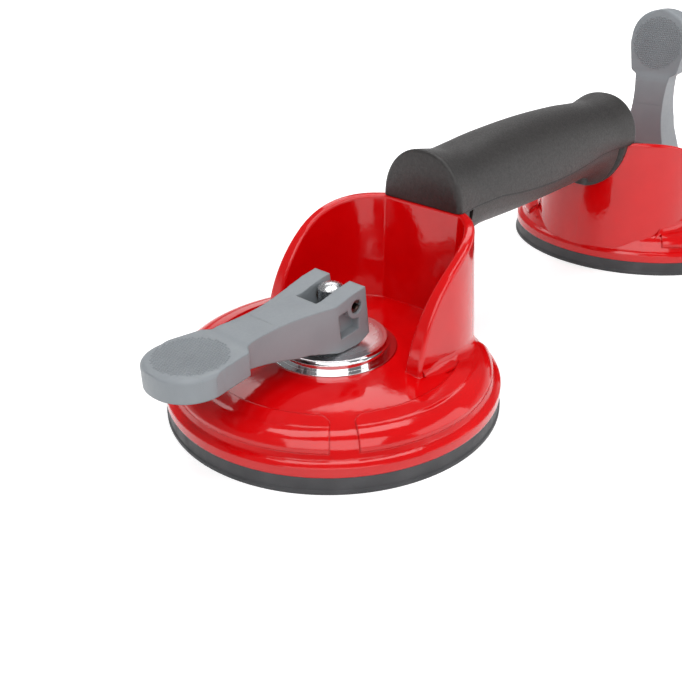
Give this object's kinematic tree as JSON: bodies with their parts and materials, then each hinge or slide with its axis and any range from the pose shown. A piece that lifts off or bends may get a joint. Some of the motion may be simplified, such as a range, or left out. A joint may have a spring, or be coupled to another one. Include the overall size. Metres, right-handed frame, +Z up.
{
  "type": "floor tile suction lifter",
  "caption": "Double suction-cup tile lifter: round rubber pads under red cast housings with winged towers, a bridge handle, and a grey cam lever on each cup.",
  "frame": {"origin": "centre of the front cup's sealing face", "axes": "+X from the front cup to the rear cup, +Z up from the sealing faces"},
  "size_m": [0.361, 0.12, 0.1108],
  "materials": {
    "red_casting": "gloss red paint on the die casting",
    "rubber": "dark grey moulded rubber",
    "lever_grey": "satin cool grey moulding",
    "washer_steel": "bright plated pressing with a brushed top",
    "stem_steel": "turned steel",
    "pin_steel": "dark rolled spring steel",
    "plate_steel": "plain zinc-plated sheet",
    "spring_steel": "drawn wire",
    "grip_upper": "fine-textured black moulding",
    "grip_lower": "black moulding, a little lighter",
    "screw_steel": "zinc-plated",
    "nut_steel": "zinc-plated"
  },
  "bodies": {
    "root": {"front_pad": "rubber", "front_return_spring": "spring_steel", "front_housing": "red_casting", "front_thrust_washer": "washer_steel", "rear_pad": "rubber", "rear_return_spring": "spring_steel", "rear_housing": "red_casting", "rear_thrust_washer": "washer_steel", "handle_upper_shell": "grip_upper", "handle_lower_shell": "grip_lower", "handle_screws": "screw_steel", "handle_nuts": "nut_steel"},
    "front_stem": {"front_lifting_stem": "stem_steel", "front_pad_plate": "plate_steel"},
    "front_cam": {"front_lever": "lever_grey", "front_pivot_pin": "pin_steel"},
    "rear_stem": {"rear_lifting_stem": "stem_steel", "rear_pad_plate": "plate_steel"},
    "rear_cam": {"rear_lever": "lever_grey", "rear_pivot_pin": "pin_steel"}
  },
  "joints": [
    {"name": "front_stem_slide", "type": "slide", "parent": "root", "child": "front_stem", "axis": [0, 0, 1], "range_m": [-0.003, 0], "deforming": ["front_return_spring", "front_pad"]},
    {"name": "front_lever_swing", "type": "hinge", "parent": "front_stem", "child": "front_cam", "pos_m": [0, 0, 0.0388], "axis": [0, 1, 0], "range_deg": [0, 90]},
    {"name": "rear_stem_slide", "type": "slide", "parent": "root", "child": "rear_stem", "axis": [0, 0, 1], "range_m": [0, 0.003], "deforming": ["rear_return_spring", "rear_pad"]},
    {"name": "rear_lever_swing", "type": "hinge", "parent": "rear_stem", "child": "rear_cam", "pos_m": [0.226, 0, 0.0358], "axis": [0, 1, 0], "range_deg": [0, 90]}
  ],
  "couplings": [
    {"joint": "front_lever_swing", "follows": "front_stem_slide", "rad_per_m": -523.55},
    {"joint": "rear_lever_swing", "follows": "rear_stem_slide", "rad_per_m": 523.55}
  ]
}
